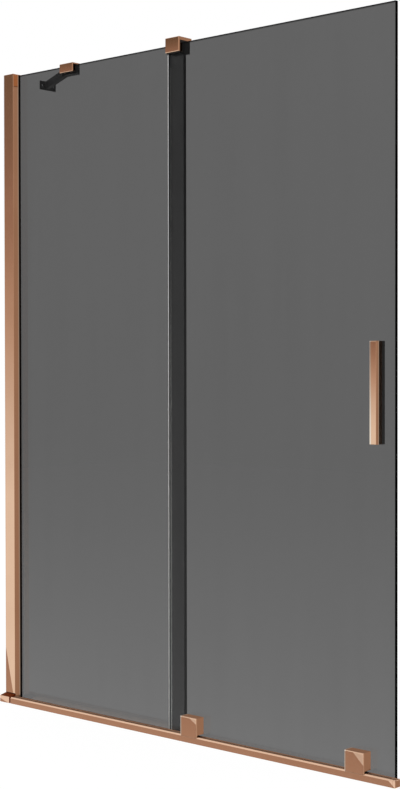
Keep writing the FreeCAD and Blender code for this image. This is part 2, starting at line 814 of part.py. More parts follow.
def main():
    os.makedirs("parts", exist_ok=True)
    make_wall_channel()
    make_wall_profile()
    make_profile_screws()
    make_profile_ends()
    make_glass_gaskets()
    make_fixed_glass()
    make_bottom_rail()
    make_track_stop()
    make_guide()
    make_brace_clip()
    make_brace_arm()
    make_sliding_glass()
    make_door_seals()
    make_handle()
    for side in carriage_centers:
        make_carriage_cover(side)
        make_carriage(side)
        make_rollers(side)


main()
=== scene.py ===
import math

import bpy
import numpy as np
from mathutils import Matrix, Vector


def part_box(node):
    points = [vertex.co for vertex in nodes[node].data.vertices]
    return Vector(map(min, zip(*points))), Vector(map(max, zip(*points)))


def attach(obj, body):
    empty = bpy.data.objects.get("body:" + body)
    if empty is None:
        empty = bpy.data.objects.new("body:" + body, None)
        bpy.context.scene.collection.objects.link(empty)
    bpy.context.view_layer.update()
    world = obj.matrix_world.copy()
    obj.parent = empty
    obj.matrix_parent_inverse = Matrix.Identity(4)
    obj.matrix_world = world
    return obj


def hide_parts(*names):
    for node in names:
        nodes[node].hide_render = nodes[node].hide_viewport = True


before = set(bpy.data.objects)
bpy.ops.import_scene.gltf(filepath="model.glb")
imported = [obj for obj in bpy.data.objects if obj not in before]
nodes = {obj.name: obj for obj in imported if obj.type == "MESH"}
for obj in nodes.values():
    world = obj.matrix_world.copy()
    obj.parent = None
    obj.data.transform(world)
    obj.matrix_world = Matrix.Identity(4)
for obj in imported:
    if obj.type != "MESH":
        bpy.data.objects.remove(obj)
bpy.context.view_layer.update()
print("frame loaded with", len(nodes), "nodes")

# Lengths are in metres in the looks, as materials read them, and in millimetres in the shapes.
alongScreen, intoBath, upwards = (1, 0, 0), (0, 1, 0), (0, 0, 1)


# Node helpers: feed takes either a number, colour or vector, or another node's output.
def feed(tree, value, socket):
    if isinstance(value, bpy.types.NodeSocket):
        tree.links.new(value, socket)
    else:
        socket.default_value = value


def addNode(tree, kind, settings=None, **inputs):
    node = tree.nodes.new(kind)
    for key, value in (settings or {}).items():
        setattr(node, key, value)
    for key, value in inputs.items():
        feed(tree, value, node.inputs[key])
    return node


def sums(tree, operation, *values):
    node = tree.nodes.new("ShaderNodeMath")
    node.operation = operation
    for value, socket in zip(values, node.inputs):
        feed(tree, value, socket)
    return node.outputs[0]


def vectorSums(tree, operation, *values):
    node = tree.nodes.new("ShaderNodeVectorMath")
    node.operation = operation
    for value, socket in zip(values, node.inputs):
        feed(tree, value, socket)
    return node.outputs["Value" if operation == "DOT_PRODUCT" else "Vector"]


def vectorScale(tree, vector, amount):
    node = addNode(tree, "ShaderNodeVectorMath", {"operation": "SCALE"}, Scale=amount)
    feed(tree, vector, node.inputs[0])
    return node.outputs[0]


# A colour mix has sockets of its own: 0 is the amount, 6 and 7 are the colours, and output 2 is the result.
def mixColours(tree, amount, first, second):
    node = tree.nodes.new("ShaderNodeMix")
    node.data_type = "RGBA"
    feed(tree, amount, node.inputs[0])
    feed(tree, first, node.inputs[6])
    feed(tree, second, node.inputs[7])
    return node.outputs[2]


def stretch(tree, value, fromLow, fromHigh, toLow, toHigh):
    node = addNode(tree, "ShaderNodeMapRange", {"clamp": True})
    for position, number in enumerate((value, fromLow, fromHigh, toLow, toHigh)):
        feed(tree, number, node.inputs[position])
    return node.outputs[0]


# The share, from 0 to 1, of the way that a value is along a span.
def share(tree, value, span):
    return stretch(tree, value, span[0], span[1], 0.0, 1.0)


# How far a place lies along an axis.
def measure(tree, place, axis):
    return vectorSums(tree, "DOT_PRODUCT", place, axis)


def greyOf(tree, level):
    return addNode(tree, "ShaderNodeCombineColor", Red=level, Green=level, Blue=level).outputs[0]


def noise(tree, place, scale, detail, rough=0.5, distortion=0.0):
    node = addNode(tree, "ShaderNodeTexNoise", Vector=place, Scale=scale, Detail=detail,
                   Roughness=rough, Distortion=distortion)
    return node.outputs[0]


def newGroup(name, inputs, outputs):
    group = bpy.data.node_groups.new(name, "ShaderNodeTree")
    for label, kind, value in inputs:
        socket = group.interface.new_socket(name=label, in_out="INPUT", socket_type=kind)
        if value is not None:
            socket.default_value = value
    for label, kind in outputs:
        group.interface.new_socket(name=label, in_out="OUTPUT", socket_type=kind)
    return group, group.nodes.new("NodeGroupInput").outputs, group.nodes.new("NodeGroupOutput").inputs


def placeGroup(tree, group, **inputs):
    node = tree.nodes.new("ShaderNodeGroup")
    node.node_tree = group
    for key, value in inputs.items():
        feed(tree, value, node.inputs[key])
    return node.outputs


# Polish: soft clouds of tone, fine drawn lines and faint wipe marks of a plated surface.
softSpan = (0.35, 0.65)
polishLook = {"cloud": {"scale": 7.0, "detail": 3.0}, "line": {"scale": 1.0, "detail": 3.0},
              "wipe": {"scale": 38.0, "detail": 4.0, "rough": 0.6, "distortion": 1.4},
              "wipeSpan": (0.52, 0.75), "wipeRough": 0.05, "lineSpan": (0.3, 0.7), "lineRough": 0.02}


def makePolishGroup():
    group, given, put = newGroup(
        "platedPolish",
        [("Place", "NodeSocketVector", None), ("Grain", "NodeSocketVector", None),
         ("Light", "NodeSocketColor", (1, 1, 1, 1)), ("Deep", "NodeSocketColor", (0.5, 0.5, 0.5, 1)),
         ("Gloss", "NodeSocketFloat", 0.2)],
        [("Tone", "NodeSocketColor"), ("Rough", "NodeSocketFloat"), ("Relief", "NodeSocketFloat")])
    cloud = share(group, noise(group, given["Place"], **polishLook["cloud"]), softSpan)
    lines = noise(group, given["Grain"], **polishLook["line"])
    wipes = noise(group, given["Place"], **polishLook["wipe"])
    wipes = stretch(group, wipes, *polishLook["wipeSpan"], 0.0, polishLook["wipeRough"])
    drawn = stretch(group, lines, *polishLook["lineSpan"], -polishLook["lineRough"], polishLook["lineRough"])
    feed(group, mixColours(group, cloud, given["Deep"], given["Light"]), put["Tone"])
    feed(group, sums(group, "ADD", given["Gloss"], sums(group, "ADD", wipes, drawn)), put["Rough"])
    feed(group, lines, put["Relief"])
    return group


# Lean: tips a face that looks to the room by a fixed amount, along its height as a crown, and beyond a
# slanting line as a facet. A face that looks along the screen or up is tipped too, by amounts of its own.
facingLimit = 0.9


def makeLeanGroup():
    group, given, put = newGroup(
        "leaningFace",
        [("Place", "NodeSocketVector", None), ("Normal", "NodeSocketVector", None),
         ("Base", "NodeSocketVector", (0, 0, 0)), ("Bend", "NodeSocketFloat", 0.0),
         ("Middle", "NodeSocketFloat", 0.0), ("Line", "NodeSocketVector", (0, 0, 0)),
         ("Offset", "NodeSocketFloat", 1.0), ("Lean", "NodeSocketVector", (0, 0, 0)),
         ("Side", "NodeSocketVector", (0, 0, 0)), ("Top", "NodeSocketVector", (0, 0, 0))],
        [("Normal", "NodeSocketVector")])
    toRoom = sums(group, "LESS_THAN", measure(group, given["Normal"], intoBath), -facingLimit)
    toSide = sums(group, "GREATER_THAN", measure(group, given["Normal"], alongScreen), facingLimit)
    upward = sums(group, "GREATER_THAN", measure(group, given["Normal"], upwards), facingLimit)
    height = measure(group, given["Place"], upwards)
    crown = sums(group, "MULTIPLY", sums(group, "SUBTRACT", height, given["Middle"]), given["Bend"])
    upTip = addNode(group, "ShaderNodeCombineXYZ", Z=crown).outputs[0]
    crowned = vectorSums(group, "ADD", given["Base"], upTip)
    beyond = sums(group, "GREATER_THAN", measure(group, given["Place"], given["Line"]), given["Offset"])
    facet = vectorScale(group, given["Lean"], beyond)
    roomTip = vectorScale(group, vectorSums(group, "ADD", crowned, facet), toRoom)
    sideTip = vectorSums(group, "ADD", vectorScale(group, given["Side"], toSide),
                         vectorScale(group, given["Top"], upward))
    tip = vectorSums(group, "ADD", roomTip, sideTip)
    feed(group, vectorSums(group, "NORMALIZE", vectorSums(group, "ADD", given["Normal"], tip)), put["Normal"])
    return group


# Sunken: 1 inside a box between two corners, such as a cover's hollow or a handle's edge, and 0 outside it.
def makeSunkenGroup():
    group, given, put = newGroup(
        "sunkenPart",
        [("Place", "NodeSocketVector", None), ("Low", "NodeSocketVector", (0, 0, 0)),
         ("High", "NodeSocketVector", (0, 0, 0))],
        [("Mask", "NodeSocketFloat")])
    least = 1.0
    for first, second in (("Place", "Low"), ("High", "Place")):
        gap = vectorSums(group, "SUBTRACT", given[first], given[second])
        for part in addNode(group, "ShaderNodeSeparateXYZ", Vector=gap).outputs:
            least = sums(group, "MINIMUM", part, least)
    feed(group, sums(group, "GREATER_THAN", least, 0.0), put["Mask"])
    return group


# Skin: the fine grain and the uneven shade of moulded plastic, rubber, paint and cast metal.
skinLook = {"grainDetail": 2.0, "patch": {"scale": 45.0, "detail": 4.0}}


def makeSkinGroup():
    group, given, put = newGroup(
        "mouldedSkin",
        [("Place", "NodeSocketVector", None), ("Size", "NodeSocketFloat", 900.0),
         ("Light", "NodeSocketColor", (1, 1, 1, 1)), ("Deep", "NodeSocketColor", (0.5, 0.5, 0.5, 1)),
         ("Gloss", "NodeSocketFloat", 0.5), ("Spread", "NodeSocketFloat", 0.1)],
        [("Tone", "NodeSocketColor"), ("Rough", "NodeSocketFloat"), ("Relief", "NodeSocketFloat")])
    grain = noise(group, given["Place"], given["Size"], skinLook["grainDetail"])
    patches = share(group, noise(group, given["Place"], **skinLook["patch"]), softSpan)
    feed(group, mixColours(group, patches, given["Deep"], given["Light"]), put["Tone"])
    spread = sums(group, "MULTIPLY", sums(group, "SUBTRACT", patches, 0.5), given["Spread"])
    feed(group, sums(group, "ADD", given["Gloss"], spread), put["Rough"])
    feed(group, grain, put["Relief"])
    return group


# Film: long faint streaks that drying water leaves down a pane.
filmLook = {"streakSize": (26.0, 26.0, 1.6), "streakSpan": (0.4, 0.7), "leastCloud": 0.3,
            "streak": {"scale": 1.0, "detail": 4.0, "rough": 0.55, "distortion": 0.6},
            "cloud": {"scale": 3.0, "detail": 2.0}}


def makeFilmGroup():
    group, given, put = newGroup(
        "waterFilm", [("Place", "NodeSocketVector", None)], [("Film", "NodeSocketFloat")])
    drawn = vectorSums(group, "MULTIPLY", given["Place"], filmLook["streakSize"])
    streaks = share(group, noise(group, drawn, **filmLook["streak"]), filmLook["streakSpan"])
    clouds = noise(group, given["Place"], **filmLook["cloud"])
    both = sums(group, "MULTIPLY", streaks, stretch(group, clouds, *softSpan, filmLook["leastCloud"], 1.0))
    feed(group, both, put["Film"])
    return group


polishGroup = makePolishGroup()
leanGroup = makeLeanGroup()
sunkenGroup = makeSunkenGroup()
skinGroup = makeSkinGroup()
filmGroup = makeFilmGroup()
print("shared effects ready")


def newMaterial(name):
    material = bpy.data.materials.new(name)
    material.use_nodes = True
    tree = material.node_tree
    tree.nodes.clear()
    output = tree.nodes.new("ShaderNodeOutputMaterial")
    shader = tree.nodes.new("ShaderNodeBsdfPrincipled")
    tree.links.new(shader.outputs[0], output.inputs["Surface"])
    place = tree.nodes.new("ShaderNodeTexCoord").outputs["Object"]
    return material, tree, shader, place


def relief(tree, shader, height, depth, normal=None):
    bump = addNode(tree, "ShaderNodeBump", Strength=1.0, Distance=depth, Height=height)
    if normal is not None:
        feed(tree, normal, bump.inputs["Normal"])
    feed(tree, bump.outputs[0], shader.inputs["Normal"])


# Boxes that masks use reach beyond the part where they have no limit.
far = 2.0


def boxMask(tree, place, low, high):
    return placeGroup(tree, sunkenGroup, Place=place, Low=low, High=high)["Mask"]


def dress(material, *names):
    for name in names:
        slots = nodes[name].data.materials
        slots.clear()
        slots.append(material)


# Rose gold. The lines are drawn along the piece: grain is how many lines a metre there are along x, y and z.
# A face to the room may be tipped, crowned (bend per metre about a middle height), or tipped beyond a
# slanting line. Painted highlights make the tone paler in highlight boxes of the piece, and painted shade
# darkens and roughens shaded boxes. The table below also holds the painted highlights' tone and widths, and
# the painted shade's colour and gloss.
roseGold = {"light": (0.735, 0.497, 0.345, 1), "deep": (0.695, 0.462, 0.316, 1), "gloss": 0.12,
            "depth": 0.0000004, "side": (0, -0.6, 0.12), "paintedShade": (0.045, 0.014, 0.005, 1), "paintedShadeGloss": 0.6,
            "edge": 0.0042, "sideHighlight": 0.0030, "highlightTone": (0.757, 0.67, 0.57, 1)}
upGrain = (2200.0, 2200.0, 30.0)
alongGrain = (30.0, 2200.0, 2200.0)


def makeRoseGold(name, grain, base=(0, 0, 0), bend=0.0, middle=0.0, line=(0, 0, 0), offset=1.0,
                 lean=(0, 0, 0), top=(0, 0, 0), highlightBoxes=(), shadedBoxes=(), paintedShade=roseGold["paintedShade"],
                 light=roseGold["light"], deep=roseGold["deep"]):
    material, tree, shader, place = newMaterial(name)
    shader.inputs["Metallic"].default_value = 1.0
    polish = placeGroup(tree, polishGroup, Place=place, Grain=vectorSums(tree, "MULTIPLY", place, grain),
                        Light=light, Deep=deep, Gloss=roseGold["gloss"])
    tone, rough = polish["Tone"], polish["Rough"]
    # Painted highlight: the tone is paler in each highlight box.
    for low, high in highlightBoxes:
        tone = mixColours(tree, boxMask(tree, place, low, high), tone, roseGold["highlightTone"])
    # Painted shade: the tone is darkened and roughened in each shaded box.
    for low, high in shadedBoxes:
        mask = boxMask(tree, place, low, high)
        tone = mixColours(tree, mask, tone, paintedShade)
        rough = sums(tree, "MAXIMUM", rough, sums(tree, "MULTIPLY", mask, roseGold["paintedShadeGloss"]))
    feed(tree, tone, shader.inputs["Base Color"])
    feed(tree, rough, shader.inputs["Roughness"])
    facing = tree.nodes.new("ShaderNodeNewGeometry").outputs["Normal"]
    normal = placeGroup(tree, leanGroup, Place=place, Normal=facing, Base=base, Bend=bend, Middle=middle,
                        Line=line, Offset=offset, Lean=lean, Side=roseGold["side"], Top=top)["Normal"]
    relief(tree, shader, polish["Relief"], roseGold["depth"], normal)
    return material


# The upright's foot is tipped below a slanting line, the rail's ends and the carriage covers above theirs.
wallProfile = {"line": (-0.9704, 0, -0.2414), "offset": -0.03428, "lean": (0, 0, 0.21)}
# Painted reflection: the top cap is given a more orange tone than the rest of the plating.
topCapReflectionTint = {"light": (0.76, 0.37, 0.17, 1), "deep": (0.70, 0.32, 0.14, 1)}
railFace = {"base": (0, 0, 0.215), "top": (0.3, -0.75, 0)}
railEnd = {"line": (0.613, 0, 0.790), "offset": 0.7320, "lean": (0.30, 0, 0.40), **railFace}
# The wall block's painted shade in its seam is a redder dark of its own.
wallBlock = {"line": (0.26, 0, 0.9656), "offset": 0.0080, "lean": (0, 0, 0.55), "top": (0.4, -0.45, 0),
             "base": railFace["base"], "paintedShade": (0.25, 0.06, 0.016, 1)}
leftCover = {"line": (0.482, 0, 0.876), "offset": 0.3562, "lean": (0.15, 0, 0.19), **railFace}
rightCover = {"line": (0.667, 0, 0.746), "offset": 0.7676, "lean": (0.20, 0, 0.165), **railFace}
topFitting = {"bend": 2.26, "middle": 1.5102}
handleBar = {"bend": 0.56, "middle": 0.735}
# Hollows of the plated pieces where shade is painted: a cover's wall, the rail's track, the block's seam
# and inside, the cap's lip.
coverWall, margin = 0.0025, 0.00005
track = {"half": 0.00365, "bottom": 0.0132, "tone": (0.35, 0.24, 0.17, 1)}
blockHollow = {"end": 0.0341, "corner": (0.004, -0.0075, 0.015)}
capLip = 0.0061


# The hollow of a carriage cover, where shade is painted, a little widened so that its inner faces count.
def coverHollow(node):
    low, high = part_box(node)
    inner = coverWall - margin
    return (low.x + inner, low.y + inner, -far), (high.x - inner, far, high.z - inner)


# Boxes of painted highlight: the left edge of a piece, and the rear edge of its right side, which ends at a
# given depth.
def leftHighlight(node):
    return (-far, -far, -far), (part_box(node)[0].x + roseGold["edge"], far, far)


def sideHighlight(node, depth):
    return (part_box(node)[1].x - margin, depth - roseGold["sideHighlight"], -far), (far, depth + margin, far)


# Painted highlights: the rear strip of the upright's right side, the handle's left edge and the rear strip of
# its right side, and each cover's left edge. Painted shade: the rail's track, the end cap's peg, the wall
# block's seam and inside, and each cover's hollow.
uprightHighlight = sideHighlight("wall_profile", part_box("front_glass_gasket")[0].y)
handleHighlights = [leftHighlight("handle_outer_bar"), sideHighlight("handle_outer_bar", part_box("handle_outer_bar")[1].y)]
trackBox = (-far, -track["half"], track["bottom"]), (far, track["half"], far)
capBox = (-far, -far, -far), (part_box("rail_end_cap")[1].x - capLip, far, far)
blockBoxes = [((blockHollow["end"], -far, -far), (far, far, far)), (blockHollow["corner"], (far, far, far))]
dress(makeRoseGold("roseGoldUpright", upGrain, highlightBoxes=[uprightHighlight], **wallProfile), "wall_profile")
dress(makeRoseGold("roseGoldTopCap", upGrain, **topCapReflectionTint), "profile_top_cap")
dress(makeRoseGold("roseGoldRail", alongGrain, shadedBoxes=[trackBox], paintedShade=track["tone"], **railEnd),
      "bottom_rail")
dress(makeRoseGold("roseGoldRailCap", alongGrain, shadedBoxes=[capBox], **railEnd), "rail_end_cap")
dress(makeRoseGold("roseGoldBlock", alongGrain, shadedBoxes=blockBoxes, **wallBlock), "rail_wall_block")
dress(makeRoseGold("roseGoldTop", alongGrain, **topFitting), "guide_cap", "brace_clip_cap")
dress(makeRoseGold("roseGoldHandle", upGrain, highlightBoxes=handleHighlights, **handleBar), "handle_outer_bar")
for side, look in (("left", leftCover), ("right", rightCover)):
    cover = side + "_carriage_cover"
    dress(makeRoseGold("roseGold" + side.capitalize() + "Cover", alongGrain, highlightBoxes=[leftHighlight(cover)],
                       shadedBoxes=[coverHollow(cover)], **look), cover)
print("rose-gold pieces dressed")


# Smoked glass: grey that deepens with the way the light takes through the pane. Light is painted into its
# surface tone: lighter towards the foot, by the square of the share of the way down the foot span, and a
# little lighter at the head. The fixed pane is painted clearer where the closed door covers it, and the door
# is painted clearer along the lower part of its left edge. The ground top edge, seen through the glass, is
# painted as a dark line below it. Spans are heights, and a place more than doorGap behind the door's pane is
# on the fixed pane.
smokedGlass = {"tone": 0.176, "foot": 0.090, "footSpan": (0.75, 0.0), "head": 0.0265,
               "headSpan": (0.62, 1.35), "film": 0.045, "covered": 0.55, "edge": 1.5, "edgeWidth": 0.008,
               "edgeSpan": (1.1, 0.6), "topLine": 0.0027, "topTone": 0.3, "doorGap": 0.001, "ior": 1.5,
               "density": 52.0}


def makeSmokedGlass():
    material, tree, shader, place = newMaterial("smokedGlass")
    height, along = measure(tree, place, upwards), measure(tree, place, alongScreen)
    # Painted light: lighter towards the foot and a little lighter at the head.
    footShare = sums(tree, "POWER", share(tree, height, smokedGlass["footSpan"]), 2.0)
    headTone = stretch(tree, height, *smokedGlass["headSpan"], 0.0, smokedGlass["head"])
    tone = sums(tree, "ADD", smokedGlass["tone"],
                sums(tree, "ADD", headTone, sums(tree, "MULTIPLY", footShare, smokedGlass["foot"])))
    film = placeGroup(tree, filmGroup, Place=place)["Film"]
    tone = sums(tree, "MULTIPLY", tone, stretch(tree, film, 0.0, 1.0, 1.0, 1.0 - smokedGlass["film"]))
    (doorLow, doorHigh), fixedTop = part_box("sliding_glass"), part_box("fixed_glass")[1].z
    doorLeft, doorBack = doorLow.x, doorHigh.y + smokedGlass["doorGap"]
    # Painted light: the fixed pane is clearer where the door covers it, the door along its lower left edge.
    covered = boxMask(tree, place, (doorLeft, doorBack, -far), (far, far, far))
    onDoor = boxMask(tree, place, (-far, -far, -far), (far, doorBack, far))
    nearEdge = stretch(tree, along, doorLeft, doorLeft + smokedGlass["edgeWidth"], smokedGlass["edge"], 0.0)
    nearEdge = sums(tree, "MULTIPLY", nearEdge, share(tree, height, smokedGlass["edgeSpan"]))
    paintedLightGain = sums(tree, "ADD", sums(tree, "MULTIPLY", covered, smokedGlass["covered"]),
                sums(tree, "MULTIPLY", onDoor, nearEdge))
    tone = sums(tree, "MULTIPLY", tone, sums(tree, "ADD", paintedLightGain, 1.0))
    # Painted dark line standing in for the ground top edge seen through the glass.
    lineFrom = stretch(tree, onDoor, 0.0, 1.0, fixedTop - smokedGlass["topLine"],
                       doorHigh.z - smokedGlass["topLine"])
    inLine = sums(tree, "GREATER_THAN", height, lineFrom)
    tone = sums(tree, "MULTIPLY", tone, stretch(tree, inLine, 0.0, 1.0, 1.0, smokedGlass["topTone"]))
    feed(tree, greyOf(tree, tone), shader.inputs["Base Color"])
    shader.inputs["Roughness"].default_value = 0.0
    shader.inputs["IOR"].default_value = smokedGlass["ior"]
    shader.inputs["Transmission Weight"].default_value = 1.0
    smoke = tree.nodes.new("ShaderNodeVolumeAbsorption")
    smoke.inputs["Color"].default_value = (0, 0, 0, 1)
    smoke.inputs["Density"].default_value = smokedGlass["density"]
    tree.links.new(smoke.outputs[0], tree.get_output_node("ALL").inputs["Volume"])
    return material


glassMaterial = makeSmokedGlass()
print("smoked glass ready")


# Moulded, painted, cast and drawn finishes share one maker: two tones, gloss and its spread, grains a metre
# and their depth.
finishes = {
    "blackRubber": {"light": (0.005, 0.004, 0.004, 1), "deep": (0.003, 0.0025, 0.0025, 1), "gloss": 0.62,
                    "spread": 0.12, "size": 1500.0, "depth": 0.00003, "specular": 0.05, "metallic": 0.0},
    "blackPlastic": {"light": (0.016, 0.015, 0.015, 1), "deep": (0.009, 0.009, 0.009, 1), "gloss": 0.48,
                     "spread": 0.14, "size": 1100.0, "depth": 0.00004, "specular": 0.2, "metallic": 0.0},
    # Painted shade: the dark red-brown of plated metal in shade, given to the foot.
    "paintedShadeBrown": {"light": (0.060, 0.018, 0.006, 1), "deep": (0.040, 0.011, 0.003, 1), "gloss": 0.5,
                     "spread": 0.14, "size": 1100.0, "depth": 0.00004, "specular": 0.2, "metallic": 0.0},
    "blackPaint": {"light": (0.045, 0.045, 0.045, 1), "deep": (0.030, 0.030, 0.030, 1), "gloss": 0.38,
                   "spread": 0.16, "size": 1700.0, "depth": 0.00003, "specular": 0.06, "metallic": 0.0},
    "groundEdge": {"light": (0.002, 0.002, 0.002, 1), "deep": (0.001, 0.001, 0.001, 1), "gloss": 0.55,
                   "spread": 0.12, "size": 2200.0, "depth": 0.00001, "specular": 0.0, "metallic": 0.0},
    "castCarriage": {"light": (0.09, 0.09, 0.09, 1), "deep": (0.06, 0.06, 0.06, 1), "gloss": 0.5,
                     "spread": 0.2, "size": 700.0, "depth": 0.00006, "specular": 0.3, "metallic": 0.6},
    "rollerNylon": {"light": (0.80, 0.79, 0.75, 1), "deep": (0.70, 0.69, 0.65, 1), "gloss": 0.42,
                    "spread": 0.15, "size": 900.0, "depth": 0.00002, "specular": 0.5, "metallic": 0.0},
    "turnedSteel": {"light": (0.66, 0.66, 0.65, 1), "deep": (0.55, 0.55, 0.55, 1), "gloss": 0.28,
                    "spread": 0.18, "size": 2600.0, "depth": 0.00001, "specular": 0.5, "metallic": 1.0},
    "plainAluminium": {"light": (0.72, 0.72, 0.73, 1), "deep": (0.62, 0.62, 0.63, 1), "gloss": 0.36,
                       "spread": 0.14, "size": 1300.0, "depth": 0.00001, "specular": 0.5, "metallic": 1.0},
}


def makeFinish(name):
    look = finishes[name]
    material, tree, shader, place = newMaterial(name)
    shader.inputs["Metallic"].default_value = look["metallic"]
    shader.inputs["Specular IOR Level"].default_value = look["specular"]
    skin = placeGroup(tree, skinGroup, Place=place, Size=look["size"], Light=look["light"], Deep=look["deep"],
                      Gloss=look["gloss"], Spread=look["spread"])
    feed(tree, skin["Tone"], shader.inputs["Base Color"])
    feed(tree, skin["Rough"], shader.inputs["Roughness"])
    relief(tree, shader, skin["Relief"], look["depth"])
    return material


finish = {name: makeFinish(name) for name in finishes}
dress(finish["blackRubber"], "brace_clip_liner", "handle_outer_gasket", "handle_inner_gasket",
      "left_carriage_gasket", "right_carriage_gasket", "left_clamp_gasket", "right_clamp_gasket")
dress(finish["blackPlastic"], "guide_liner", "track_stop")
# The foot takes the painted dark red-brown of plated metal in shade.
dress(finish["paintedShadeBrown"], "profile_foot")
dress(finish["blackPaint"], "brace_clip_socket", "brace_arm", "brace_wall_flange", "brace_grub_screw",
      "brace_flange_screw", "brace_clip_screws", "guide_grub_screws", "handle_inner_bar")
dress(finish["castCarriage"], "left_carriage_body", "right_carriage_body")
dress(finish["turnedSteel"], "profile_screws", "guide_screws", "handle_bolts", "left_clamp_screws",
      "right_clamp_screws", "left_roller_axles", "right_roller_axles", "left_clamp_plate",
      "right_clamp_plate")
dress(finish["plainAluminium"], "wall_channel", "fixed_glass_shoe")


# Clear soft strip: it lets part of the light through and scatters the rest. Its fin, behind the pane, has a
# faint painted glow, more so towards the foot and less so towards its tip.
clearStrip = {"light": (0.93, 0.93, 0.91, 1), "deep": (0.88, 0.88, 0.86, 1), "gloss": 0.3, "spread": 0.04,
              "size": 400.0, "depth": 0.00002, "ior": 1.45, "through": 0.45, "glowLow": 0.50,
              "glowHigh": 0.19, "glowSpan": (0.45, 1.1), "rootGain": 1.1, "tipGain": 0.2}


def makeClearStrip():
    material, tree, shader, place = newMaterial("clearStrip")
    skin = placeGroup(tree, skinGroup, Place=place, Size=clearStrip["size"], Light=clearStrip["light"],
                      Deep=clearStrip["deep"], Gloss=clearStrip["gloss"], Spread=clearStrip["spread"])
    feed(tree, skin["Tone"], shader.inputs["Base Color"])
    feed(tree, skin["Rough"], shader.inputs["Roughness"])
    shader.inputs["IOR"].default_value = clearStrip["ior"]
    shader.inputs["Transmission Weight"].default_value = clearStrip["through"]
    # Painted glow: the fin is given a faint emission, though it is no lamp.
    glow = stretch(tree, measure(tree, place, upwards), *clearStrip["glowSpan"], clearStrip["glowLow"],
                   clearStrip["glowHigh"])
    finRoot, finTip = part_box("sliding_glass")[1].y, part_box("door_edge_seal")[1].y
    onFin = boxMask(tree, place, (-far, finRoot, -far), (far, far, far))
    paintedLightGain = stretch(tree, measure(tree, place, intoBath), finRoot, finTip, clearStrip["rootGain"],
                   clearStrip["tipGain"])
    glow = sums(tree, "MULTIPLY", glow, sums(tree, "MULTIPLY", onFin, paintedLightGain))
    feed(tree, greyOf(tree, glow), shader.inputs["Emission Color"])
    shader.inputs["Emission Strength"].default_value = 1.0
    relief(tree, shader, skin["Relief"], clearStrip["depth"])
    return material


clearMaterial = makeClearStrip()
print("black and steel pieces dressed, clear strip ready")


# A closed mesh from quads and end faces. If its signed volume comes out negative, every face is turned over.
sharpAngle = 38.0


def putPiece(name, points, quads, ends, material, body, stands, endMaterial=None):
    flat = points.reshape(-1, 3)
    corners = flat[quads]
    volume = np.einsum("ij,ij->", corners[:, 0], np.cross(corners[:, 1], corners[:, 2]))
    volume += np.einsum("ij,ij->", corners[:, 0], np.cross(corners[:, 2], corners[:, 3]))
    for end in ends:
        ring = flat[end]
        fan = np.cross(ring[1:], np.broadcast_to(ring[0], ring[1:].shape))
        volume += np.einsum("ij,ij->", ring[:-1], fan)
    faces = [list(face) for face in quads] + [list(end) for end in ends]
    if volume < 0:
        faces = [face[::-1] for face in faces]
    mesh = bpy.data.meshes.new(name)
    mesh.from_pydata(flat.tolist(), [], faces)
    mesh.polygons.foreach_set("use_smooth", np.ones(len(mesh.polygons), dtype=bool))
    mesh.set_sharp_from_angle(angle=math.radians(sharpAngle))
    mesh.materials.append(material)
    if endMaterial is not None:
        mesh.materials.append(endMaterial)
        kinds = np.concatenate([np.zeros(len(quads), dtype=np.int32), np.ones(len(ends), dtype=np.int32)])
        mesh.polygons.foreach_set("material_index", kinds)
    piece = bpy.data.objects.new(name, mesh)
    bpy.context.scene.collection.objects.link(piece)
    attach(piece, body)
    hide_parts(stands)


# Quads between neighbouring rings of count points each. In a closed row the last ring meets the first.
def ringQuads(rings, count, closed=False):
    ring, spot = np.meshgrid(np.arange(rings if closed else rings - 1), np.arange(count), indexing="ij")
    nextRing, after = (ring + 1) % rings, (spot + 1) % count
    quads = np.stack([ring * count + spot, ring * count + after, nextRing * count + after,
                      nextRing * count + spot], axis=-1)
    return quads.reshape(-1, 4)


# Outlines carried along straight runs: for each (outline, start, end), ring k is the outline at k/steps of
# the run. axes says which of x, y, z the outline's two values and the run go to.
def carryOutlines(outlines, axes, steps=2):
    allPoints, allQuads, ends, base = [], [], [], 0
    for outline, start, end in outlines:
        count = len(outline)
        run = np.linspace(start, end, steps + 1)
        points = np.zeros((steps + 1, count, 3))
        points[:, :, axes[0]] = outline[:, 0]
        points[:, :, axes[1]] = outline[:, 1]
        points[:, :, axes[2]] = run[:, None]
        allPoints.append(points.reshape(-1, 3))
        allQuads.append(ringQuads(steps + 1, count) + base)
        ends.append(np.arange(count)[::-1] + base)
        ends.append(np.arange(count) + steps * count + base)
        base += points.shape[0] * count
    return np.concatenate(allPoints), np.concatenate(allQuads), ends


# A ring about a line along y: each (radius, y) point of a closed outline is turned through a full circle.
def turnOutline(outline, centre, turns=64):
    angle = np.linspace(0, 2 * math.pi, turns, endpoint=False)
    count = len(outline)
    points = np.zeros((turns, count, 3))
    points[:, :, 0] = centre[0] + np.cos(angle)[:, None] * outline[:, 0]
    points[:, :, 1] = outline[:, 1]
    points[:, :, 2] = centre[2] + np.sin(angle)[:, None] * outline[:, 0]
    return points, ringQuads(turns, count, closed=True)


# Points on a circle about a centre, from one angle to another in degrees.
def arc(centreA, centreB, radius, fromAngle, toAngle, count=6):
    angle = np.radians(np.linspace(fromAngle, toAngle, count))
    return np.stack([centreA + radius * np.cos(angle), centreB + radius * np.sin(angle)], axis=1)


# Panes: four rings of one upright rectangle, the first and the last drawn in by the arris. The rim is ground.
paneEdge = {"arris": 0.3}


